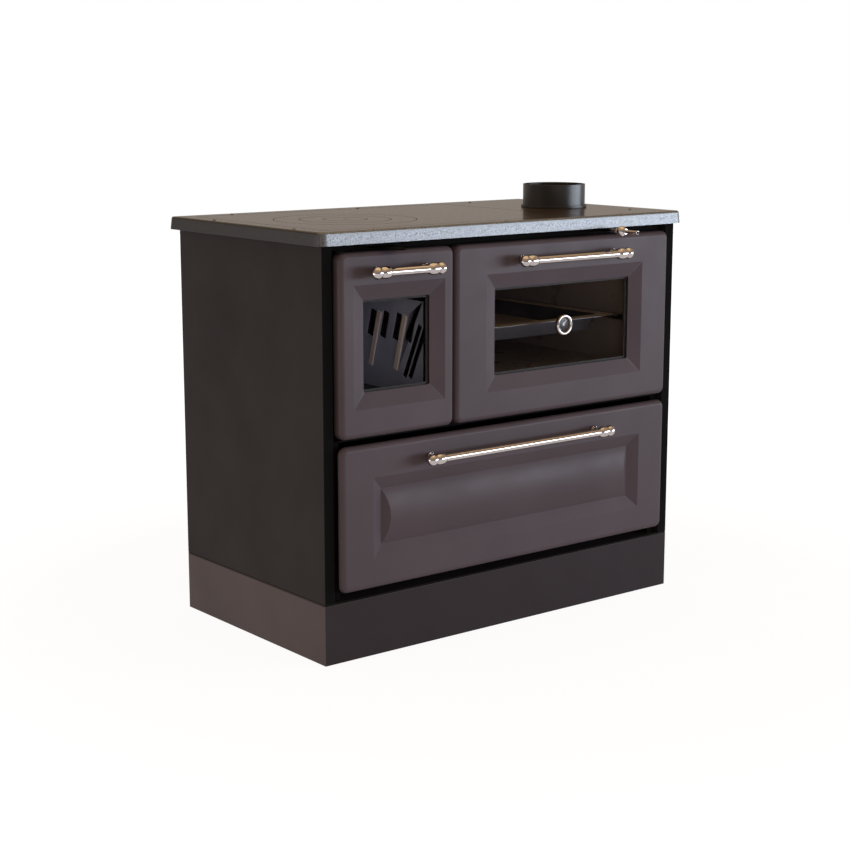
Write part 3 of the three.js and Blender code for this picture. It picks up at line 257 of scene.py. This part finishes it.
MARKS = paint("dial_marks", srgb(200, 198, 196), srgb(214, 212, 210), 0.5, 300, 0.00001, 0.4)
RIM_ROUGHNESS = 0.47


def hob_material():
    """Oiled plate on top, fine hammered metal on the rim's sides, painted darker as shade on the left and
    right ones.
    """
    n = new_nodes("hob_steel")
    facing = n.facing()
    top = n.remap(facing["Z"], 0.0, 1.0, 0.9, 0.985)
    side_shading = n.remap(n.math("ABSOLUTE", facing["X"]), 0.0, 1.0, 0.5, 0.9)
    plate = n.ramp(n.noise(5, 5), [(0.28, srgb(57, 45, 36)), (0.72, srgb(68, 54, 43))])
    blotch = n.noise(560, 3)
    front_rim = n.ramp(blotch, [(0.4, srgb(100, 101, 103)), (0.6, srgb(150, 151, 153))])
    # painted shade: the rim's left and right faces get this darker colour
    shaded_side_rim = n.ramp(blotch, [(0.38, srgb(72, 71, 73)), (0.62, srgb(88, 87, 89))])
    colour = n.mix(top, n.mix(side_shading, front_rim, shaded_side_rim), plate)
    ground = n.noise(120, 4)
    smoother = n.math("SUBTRACT", n.remap(ground, 0.15, 0.19, 0.3, 0.7), RIM_ROUGHNESS)
    rough = n.math("ADD", n.math("MULTIPLY", top, smoother), RIM_ROUGHNESS)
    hammered = n.bump(n.noise(850, 2), 0.4, 0.00012)
    level = n.bump(ground, 0.03, 0.00002)
    normal = n.mix(top, hammered, level, "VECTOR")
    return n.principled(colour, rough, normal, 0.3, n.remap(top, 1.0, 0.0))


def tray_material():
    """Black enamel, painted light brown where the tray looks up, as light falling on it from above."""
    n = new_nodes("tray_enamel")
    upward = n.remap(n.facing()["Z"], 0.0, 1.0, 0.5, 0.9)
    # painted light: faces that look up are light brown
    lit_top = n.ramp(n.noise(14, 4), [(0.3, srgb(196, 166, 134)), (0.7, srgb(214, 184, 150))])
    walls = n.ramp(n.noise(20, 3), [(0.3, srgb(52, 49, 52)), (0.7, srgb(64, 61, 64))])
    return n.principled(n.mix(upward, walls, lit_top), n.remap(n.noise(30, 3), 0.25, 0.34))


FIREBOX_MIDDLE = 157
RIB_DEPTH = (104.6, 103.4)       # from the firebox's middle, where the ribs' colour begins and is full
SLOT_DEPTH = (105.4, 106.4)      # and the same for the painted shade behind the lining's face


def lining_material():
    """Cast lining: grey face, paler ribs that stand proud of it, and painted shade in the slots."""
    n = new_nodes("lining_iron")
    split = n.add("SeparateXYZ")
    n.link(n.place(), split.inputs["Vector"])
    middle = at(FIREBOX_MIDDLE, 0, 0).x
    off_middle = n.math("ABSOLUTE", n.math("SUBTRACT", split.outputs["X"], middle))
    slot_shade = n.remap(off_middle, 0.0, 1.0, SLOT_DEPTH[0] * MM, SLOT_DEPTH[1] * MM)
    ribs = n.remap(off_middle, 1.0, 0.0, RIB_DEPTH[1] * MM, RIB_DEPTH[0] * MM)
    face = n.ramp(n.noise(8, 4), [(0.3, srgb(156, 160, 178)), (0.7, srgb(174, 177, 192))])
    # painted shade: near black behind the lining's face, in the slots
    colour = n.mix(slot_shade, n.mix(ribs, face, srgb(222, 208, 194)), srgb(7, 7, 7))
    return n.principled(colour, 0.72, n.bump(n.noise(700, 2), 0.4, 0.0003), 0.25)


CLEAR_LOW = (0.93, 0.94, 0.95, 1)
CLEAR_HIGH = (0.96, 0.97, 0.98, 1)


def glass_material():
    """Clear ceramic glass, which lamps and sight pass straight through."""
    n = new_nodes("door_glass")
    smudge = n.noise(7, 4)
    clear = n.add("BsdfTransparent")
    n.link(n.ramp(smudge, [(0.3, CLEAR_LOW), (0.7, CLEAR_HIGH)]), clear.inputs["Color"])
    gloss = n.add("BsdfGlossy")
    n.link(n.remap(smudge, 0.02, 0.06), gloss.inputs["Roughness"])
    edge = n.add("Fresnel")
    edge.inputs["IOR"].default_value = 1.05
    return n.blend(edge.outputs["Fac"], clear.outputs["BSDF"], gloss.outputs["BSDF"])


def rope_material():
    """Braided glass-fibre rope."""
    n = new_nodes("rope_seal")
    braid = n.add("TexWave", wave_type="BANDS", bands_direction="DIAGONAL")
    braid.inputs["Scale"].default_value = 90
    braid.inputs["Distortion"].default_value = 2.5
    n.link(n.place(), braid.inputs["Vector"])
    weave = braid.outputs["Fac"]
    colour = n.ramp(weave, [(0.2, srgb(86, 82, 78)), (0.8, srgb(142, 137, 130))])
    return n.principled(colour, 0.9, n.bump(weave, 0.8, 0.0008))


HOB = hob_material()
LINING = lining_material()
TRAY_STEEL = tray_material()
GLASS = glass_material()
ROPE = rope_material()


# ------------------------------------------------------------------ the CAD nodes' finish
WELD_DISTANCE = 0.00001
SMOOTH_ANGLE = math.radians(33)  # two faces that meet at more stay sharp
CRISP_ANGLE = math.radians(18)   # the same for the pressed doors and the drawer's front
FLAT_ANGLE = math.radians(0.5)   # facets that meet at less become one face
BEVEL_STEPS = 2
FLAT_WEIGHT = 90


def geometry_group(name, build):
    """A geometry node group whose nodes build adds between its input and its output."""
    group = bpy.data.node_groups.new(name, "GeometryNodeTree")
    group.interface.new_socket("Geometry", in_out="INPUT", socket_type="NodeSocketGeometry")
    group.interface.new_socket("Geometry", in_out="OUTPUT", socket_type="NodeSocketGeometry")
    start = group.nodes.new("NodeGroupInput")
    end = group.nodes.new("NodeGroupOutput")
    group.links.new(build(group, start.outputs[0]), end.inputs[0])
    return group


def weld_nodes(group, geometry):
    """One vertex for each corner, and no stored normals."""
    forget = group.nodes.new("GeometryNodeRemoveAttribute")
    forget.inputs["Name"].default_value = "custom_normal"
    group.links.new(geometry, forget.inputs["Geometry"])
    merge = group.nodes.new("GeometryNodeMergeByDistance")
    merge.inputs["Distance"].default_value = WELD_DISTANCE
    group.links.new(forget.outputs["Geometry"], merge.inputs["Geometry"])
    return merge.outputs["Geometry"]


def smooth_nodes(group, geometry, limit):
    """Smooth faces, sharp where two meet at more than limit."""
    faces = group.nodes.new("GeometryNodeSetShadeSmooth")
    faces.domain = "FACE"
    group.links.new(geometry, faces.inputs["Geometry"])
    angle = group.nodes.new("GeometryNodeInputMeshEdgeAngle")
    flat = group.nodes.new("FunctionNodeCompare")
    flat.operation = "LESS_EQUAL"
    group.links.new(angle.outputs["Unsigned Angle"], flat.inputs[0])
    flat.inputs[1].default_value = limit
    edges = group.nodes.new("GeometryNodeSetShadeSmooth")
    edges.domain = "EDGE"
    group.links.new(faces.outputs["Geometry"], edges.inputs["Geometry"])
    group.links.new(flat.outputs["Result"], edges.inputs["Shade Smooth"])
    return edges.outputs["Geometry"]


WELD = geometry_group("weld", weld_nodes)
SMOOTH = {}
for limit, group_name in ((SMOOTH_ANGLE, "smooth_by_angle"), (CRISP_ANGLE, "crisp_by_angle")):
    SMOOTH[limit] = geometry_group(group_name, lambda group, geometry: smooth_nodes(group, geometry, limit))


def smooth_shading(obj, limit):
    obj.modifiers.new("smooth", "NODES").node_group = SMOOTH[limit]


def dress(obj, radius, limit):
    """Welded facets, a small radius on every sharp edge, and smooth shading that leaves flat faces flat."""
    obj.modifiers.new("weld", "NODES").node_group = WELD
    flat = obj.modifiers.new("flat_faces", "DECIMATE")
    flat.decimate_type = "DISSOLVE"
    flat.angle_limit = FLAT_ANGLE
    edge = obj.modifiers.new("edge_radius", "BEVEL")
    edge.width = radius * MM
    edge.segments = BEVEL_STEPS
    edge.limit_method = "ANGLE"
    edge.angle_limit = limit
    edge.harden_normals = False
    smooth_shading(obj, limit)
    flatten = obj.modifiers.new("flat_normals", "WEIGHTED_NORMAL")
    flatten.keep_sharp = True
    flatten.weight = FLAT_WEIGHT


def finish_of(node):
    """A node's material, and the radius of its sharp edges in millimetres."""
    if node == "plinth":
        return PLINTH, 0.8
    if node == "drawer_front" or node.endswith("door_front"):
        return TAUPE, 0.6
    if node.endswith("door_glass"):
        return GLASS, 0.4
    if node.endswith("seal"):
        return ROPE, 2.0
    if "handle" in node or node in ("damper_rod", "thermometer_case", "thermometer_needle"):
        return CHROME, 0.25
    if node in ("top_frame", "cooking_plate", "ring_outer", "ring_middle", "ring_cap"):
        return HOB, 0.3
    if node.startswith("firebox_lining"):
        return LINING, 0.8
    if node in ("damper_plate", "fire_grate"):
        return CAST, 0.8
    if node == "flue_collar":
        return COLLAR, 0.5
    if node in ("ledge_riser", "front_frame", "air_lever") or "hinge" in node:
        return BLACK, 0.4
    if node in ("side_panel_left", "side_panel_right", "back_panel", "base_plate", "drawer_box"):
        return CASING, 0.8
    if node in ("fire_door_tray", "oven_door_tray"):
        return TAUPE, 0.5
    if node.endswith("clamp"):
        return CLAMP, 0.5
    if node == "oven_box":
        return OVEN_STEEL, 0.8
    if node == "baking_tray":
        return TRAY_STEEL, 0.5
    return STEEL, 0.5


for node_name, node_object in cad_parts.items():
    material, radius = finish_of(node_name)
    node_object.data.materials.clear()
    node_object.data.materials.append(material)
    dress(node_object, radius, CRISP_ANGLE if material is TAUPE else SMOOTH_ANGLE)


# ------------------------------------------------------------------ pieces added to the nodes
UP = (0, 0, 1)
FORWARD = (0, -1, 0)
BACKWARD = (0, 1, 0)
SCREW_SIDES = 24
ROD_SIDES = 32
KNOB_SIDES = 40
DIAL_SIDES = 48
RING_SIDES = 96


def revolve(mesh, profile, centre, axis, sides):
    """Adds a closed turned form to mesh: profile holds (radius, height along axis) in millimetres."""
    turn = Vector(UP).rotation_difference(Vector(axis)).to_matrix()
    rings = []
    for radius, height in profile:
        ring = []
        for step in range(sides if radius else 1):
            angle = 2 * math.pi * step / sides
            spot = Vector((radius * math.cos(angle), radius * math.sin(angle), height)) * MM
            ring.append(mesh.verts.new(Vector(centre) + turn @ spot))
        rings.append(ring)
    for lower, upper in zip(rings, rings[1:]):
        for step in range(sides):
            after = (step + 1) % sides
            corners = [lower[step % len(lower)], lower[after % len(lower)],
                       upper[after % len(upper)], upper[step % len(upper)]]
            mesh.faces.new(list(dict.fromkeys(corners)))


def block(mesh, centre, half, turn):
    """Adds a box of half sizes half, in millimetres, turned about its own middle."""
    corners = {}
    for x in (-1, 1):
        for y in (-1, 1):
            for z in (-1, 1):
                spot = Vector((x * half[0], y * half[1], z * half[2])) * MM
                corners[x, y, z] = mesh.verts.new(centre + turn @ spot)
    for a, b in ((0, 1), (1, 2), (2, 0)):
        for side in (-1, 1):
            face = []
            for first, second in ((-1, -1), (1, -1), (1, 1), (-1, 1)):
                key = [side, side, side]
                key[a], key[b] = first, second
                face.append(corners[tuple(key)])
            mesh.faces.new(face)


def piece(name, mesh, material, body):
    """Makes mesh an object that rides on body."""
    bmesh.ops.recalc_face_normals(mesh, faces=mesh.faces)
    data = bpy.data.meshes.new(name)
    mesh.to_mesh(data)
    mesh.free()
    data.materials.append(material)
    obj = bpy.data.objects.new(name, data)
    bpy.context.collection.objects.link(obj)
    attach(obj, body)
    smooth_shading(obj, SMOOTH_ANGLE)


# A low round head with a round recess. It begins 1.2 mm inside what it holds, so no gap shows.
SCREW = [(0, -1.2), (4.6, -1.2), (4.6, 0.5), (4.2, 1.2), (3.2, 1.8), (1.9, 2.0), (1.8, 0.4), (0, 0.3)]
RIM_SCREW_SIZE = 0.75
FRAME_SCREW_SIZE = 0.9
RIM_SCREWS = [(119, -7), (451, -7), (777, -7), (121, 504), (441, 488), (772, 493),
              (0, 89), (0, 378), (898, 89), (898, 378)]
FRAME_SCREWS = [(95, 819), (205, 819), (711, 818)]
LEDGE_SCREWS = [(103, 124), (476, 124), (849, 124)]
BACK_ACROSS = (0.04, 0.5, 0.96)  # shares of the back panel's width
BACK_UP = (0.03, 0.5, 0.97)      # and of its height


def screws(name, places, axis, material, size=1.0):
    mesh = bmesh.new()
    for place in places:
        revolve(mesh, [(radius * size, height * size) for radius, height in SCREW], place, axis, SCREW_SIDES)
    piece(name, mesh, material, "stove_body")


def on_front(node, places):
    """Places (x, z) on the front face of a node."""
    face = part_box(node)[0].y
    return [Vector((at(x, 0, 0).x, face, z * MM)) for x, z in places]


def make_screws():
    rim_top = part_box("top_frame")[1].z / MM
    screws("rim_screws", [at(x, y, rim_top) for x, y in RIM_SCREWS], UP, SCREW_STEEL, RIM_SCREW_SIZE)
    screws("frame_screws", on_front("front_frame", FRAME_SCREWS), FORWARD, BLACK, FRAME_SCREW_SIZE)
    screws("ledge_screws", on_front("ledge_riser", LEDGE_SCREWS), FORWARD, BLACK)
    low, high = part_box("back_panel")
    size = high - low
    places = [Vector((low.x + across * size.x, high.y, low.z + up * size.z))
              for across in BACK_ACROSS for up in BACK_UP]
    screws("back_screws", places, BACKWARD, BLACK)


JOINT_IN = 0.5                   # soot over a ring's own edge
JOINT_OUT = 0.9                  # and over the edge beside it
JOINT_HALF = 0.8                 # half the width of a straight line of soot
SOOT_DEPTH = 0.8
SOOT_PROUD = 0.05
BAR_DEPTH = 0.4                  # middle of a straight line of soot, under the plate's top
BAR_HALF = 0.45
BAR_SHORT = 0.9                  # keeps the front and rear lines clear of the side ones


def make_joints():
    """Soot in the joints of the rings and of the cooking plate."""
    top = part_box("top_frame")[1].z
    centre = sum(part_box("ring_cap"), Vector()) / 2
    centre.z = top
    mesh = bmesh.new()
    for ring in ("ring_cap", "ring_middle", "ring_outer"):
        low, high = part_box(ring)
        edge = (high.x - low.x) / 2 / MM
        inner, outer = edge - JOINT_IN, edge + JOINT_OUT
        section = [(inner, -SOOT_DEPTH), (outer, -SOOT_DEPTH), (outer, SOOT_PROUD), (inner, SOOT_PROUD)]
        revolve(mesh, section + section[:1], centre, UP, RING_SIDES)
    low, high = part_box("cooking_plate")
    middle = (low + high) / 2
    half = (high - low) / 2
    height = top - BAR_DEPTH * MM
    level = Matrix.Identity(3)
    for side in (-1, 1):
        block(mesh, Vector((middle.x + side * half.x, middle.y, height)),
              (JOINT_HALF, half.y / MM, BAR_HALF), level)
        block(mesh, Vector((middle.x, middle.y + side * half.y, height)),
              (half.x / MM - BAR_SHORT, JOINT_HALF, BAR_HALF), level)
    piece("hob_joints", mesh, BLACK, "stove_body")


DIAL_PROFILE = [(0, -0.6), (15.3, -0.6), (15.3, 0.05), (14.9, 0.2), (0, 0.2)]
DIAL_GAP = 0.26                  # from the needle's back to the plane where the profile's height is 0
MARK_COUNT = 25                  # marks in a whole turn
UNMARKED = range(10, 15)         # left out at the bottom of the dial
LONG_EVERY = 3
LONG_MARK = (12.6, 1.7)          # middle from the dial's centre, and half length
SHORT_MARK = (13.2, 1.1)
MARK_HALF_WIDTH = 0.28
MARK_HALF_DEPTH = 0.1
MARK_PROUD = 0.25


def make_dial():
    """The dial's dark face with its marks, in the recess of the thermometer case."""
    centre = sum(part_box("thermometer_case"), Vector()) / 2
    centre.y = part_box("thermometer_needle")[1].y + DIAL_GAP * MM
    face = bmesh.new()
    revolve(face, DIAL_PROFILE, centre, FORWARD, DIAL_SIDES)
    piece("dial_face", face, DIAL, "oven_door")
    marks = bmesh.new()
    for step in range(MARK_COUNT):
        if step in UNMARKED:
            continue
        turn = Matrix.Rotation(2 * math.pi * step / MARK_COUNT, 3, "Y")
        distance, half_length = SHORT_MARK if step % LONG_EVERY else LONG_MARK
        spot = Vector((0, -MARK_PROUD, distance)) * MM
        block(marks, centre + turn @ spot, (MARK_HALF_WIDTH, MARK_HALF_DEPTH, half_length), turn)
    piece("dial_marks", marks, MARKS, "oven_door")


GRIP_REACH = 50                  # grip's middle, in front of the plinth's front
GRIP_RADIUS = 11.2
GRIP_ARC = 62                    # degrees of the ball to each side of its middle
GRIP_STEP = 4
GRIP_NECK = [(3.62, -13.6), (5.6, -13.6), (6.1, -13.1), (6.1, -11.6), (5.6, -11.0)]
# A black cup, painted shade in the rod's open end.
END_SHADE_CUP = [(0, -7.6), (2.15, -7.6), (2.15, -0.2), (2.9, 0.1), (3.0, 0.25), (2.4, 0.25), (2.1, -0.2),
              (2.1, -7.4), (0, -7.4)]


def make_rod_fittings():
    """The pull rod's full-size grip over the small one, and a black cup in its open end as painted shade."""
    low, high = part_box("damper_rod")
    end = Vector(((low.x + high.x) / 2, low.y, (low.z + high.z) / 2))
    middle = Vector((end.x, at(0, -GRIP_REACH, 0).y, end.z))
    turns = [math.radians(turn) for turn in range(-GRIP_ARC, GRIP_ARC + 1, GRIP_STEP)]
    ball = [(GRIP_RADIUS * math.cos(turn), GRIP_RADIUS * math.sin(turn)) for turn in turns]
    profile = GRIP_NECK + ball + [(radius, -height) for radius, height in reversed(GRIP_NECK)]
    grip = bmesh.new()
    revolve(grip, profile + profile[:1], middle, FORWARD, KNOB_SIDES)
    piece("damper_knob", grip, CHROME, "damper")
    # painted shade inside the rod's open end
    shade_cup = bmesh.new()
    revolve(shade_cup, END_SHADE_CUP, end, FORWARD, ROD_SIDES)
    piece("rod_end_shade", shade_cup, BLACK, "damper")


make_screws()
make_joints()
make_dial()
make_rod_fittings()


# ------------------------------------------------------------------ stage and light
FLOOR_HALF = 9
FLOOR_DROP = 0.0003              # keeps the floor just under the plinth
FLOOR_COLOUR = (0.82, 0.79, 0.8, 1)
FLOOR_WHITE = 1.1
FLOOR_MIRRORED = 0.72
FLOOR_SHARE = 0.84               # share of plain white near the stove, where its shadow shows
FLOOR_NEAR = 0.9
FLOOR_FAR = 2.0


def make_floor():
    mesh = bpy.data.meshes.new("floor")
    corners = [(x * FLOOR_HALF, y * FLOOR_HALF, 0) for x, y in ((-1, -1), (1, -1), (1, 1), (-1, 1))]
    mesh.from_pydata(corners, [], [(0, 1, 2, 3)])
    floor = bpy.data.objects.new("floor", mesh)
    floor.location.z = -FLOOR_DROP
    bpy.context.collection.objects.link(floor)
    n = new_nodes("floor")
    diffuse = n.add("BsdfDiffuse")
    diffuse.inputs["Color"].default_value = FLOOR_COLOUR
    white = n.add("Emission")
    n.link(n.remap(n.rays("Is Glossy Ray"), FLOOR_WHITE, FLOOR_MIRRORED), white.inputs["Strength"])
    seen = n.rays("Is Camera Ray", "Is Glossy Ray", "Is Transmission Ray")
    reach = n.add("VectorMath", operation="LENGTH")
    n.link(n.place(), reach.inputs[0])
    share = n.remap(reach.outputs["Value"], FLOOR_SHARE, 1.0, FLOOR_NEAR, FLOOR_FAR)
    factor = n.math("MULTIPLY", seen, share)
    mesh.materials.append(n.blend(factor, diffuse.outputs["BSDF"], white.outputs["Emission"]))


# Colours by height, from level (0) to straight up (1).
CEILING = [(0.3, (0.56, 0.44, 0.34, 1)), (0.6, (0.72, 0.52, 0.3, 1)), (1.0, (0.8, 0.6, 0.38, 1))]
BEHIND = [(0.0, (0.76, 0.7, 0.65, 1)), (0.06, (0.74, 0.67, 0.61, 1)), (0.14, (0.6, 0.49, 0.4, 1))] + CEILING
BEFORE = [(0.0, (0.1, 0.095, 0.09, 1)), (0.1, (0.1, 0.095, 0.09, 1)), (0.17, (0.5, 0.43, 0.38, 1))] + CEILING
ROOM_TURN = (0.1, -0.3)          # the direction's y, where the room begins to change and where it has changed
ROOM_STRENGTH = 0.6


def make_world():
    """White where the camera looks. For other rays a pale horizon behind the stove, a dark room before it."""
    world = bpy.data.worlds.new("studio")
    bpy.context.scene.world = world
    n = Nodes(world, "OutputWorld")
    split = n.add("SeparateXYZ")
    n.link(n.add("TexCoord").outputs["Generated"], split.inputs["Vector"])
    behind = n.ramp(split.outputs["Z"], BEHIND)
    before = n.ramp(split.outputs["Z"], BEFORE)
    turn = n.remap(split.outputs["Y"], 0.0, 1.0, *ROOM_TURN)
    room = n.add("Background")
    room.inputs["Strength"].default_value = ROOM_STRENGTH
    n.link(n.mix(turn, behind, before), room.inputs["Color"])
    white = n.add("Background")
    white.inputs["Color"].default_value = (1, 1, 1, 1)
    seen = n.rays("Is Camera Ray", "Is Transmission Ray")
    n.blend(seen, room.outputs["Background"], white.outputs["Background"])


def lamp(name, place, target, size, power, colour, mirrored=True):
    """A lamp of size metres and power watts, turned to target. It shows in reflections if mirrored."""
    data = bpy.data.lights.new(name, "AREA")
    data.shape = "RECTANGLE"
    data.size, data.size_y = size
    data.energy = power
    data.color = colour
    obj = bpy.data.objects.new(name, data)
    obj.location = place
    obj.visible_glossy = mirrored
    aim = Vector(target) - Vector(place)
    obj.rotation_euler = aim.to_track_quat("-Z", "Y").to_euler()
    bpy.context.collection.objects.link(obj)


COOL = (0.78, 0.87, 1.0)
ROSE = (1.0, 0.88, 0.88)
WARM = (1.0, 0.72, 0.40)
CREAM = (1.0, 0.88, 0.82)

make_floor()
make_world()
lamp("key_right", (5.2, -4.9, 0.85), (0, 0, 0.35), (6.4, 1.2), 330, COOL)
lamp("front_fill", (-1.6, -4.6, 0.95), (0, 0, 0.2), (3.0, 2.2), 50, ROSE, mirrored=False)
lamp("top", (0.3, -0.2, 4.4), (0, 0, 0.6), (5.0, 4.4), 34, WARM)
lamp("low_left", (-2.2, 0.2, 0.35), (0, 0, 0.15), (1.8, 0.5), 10, CREAM)
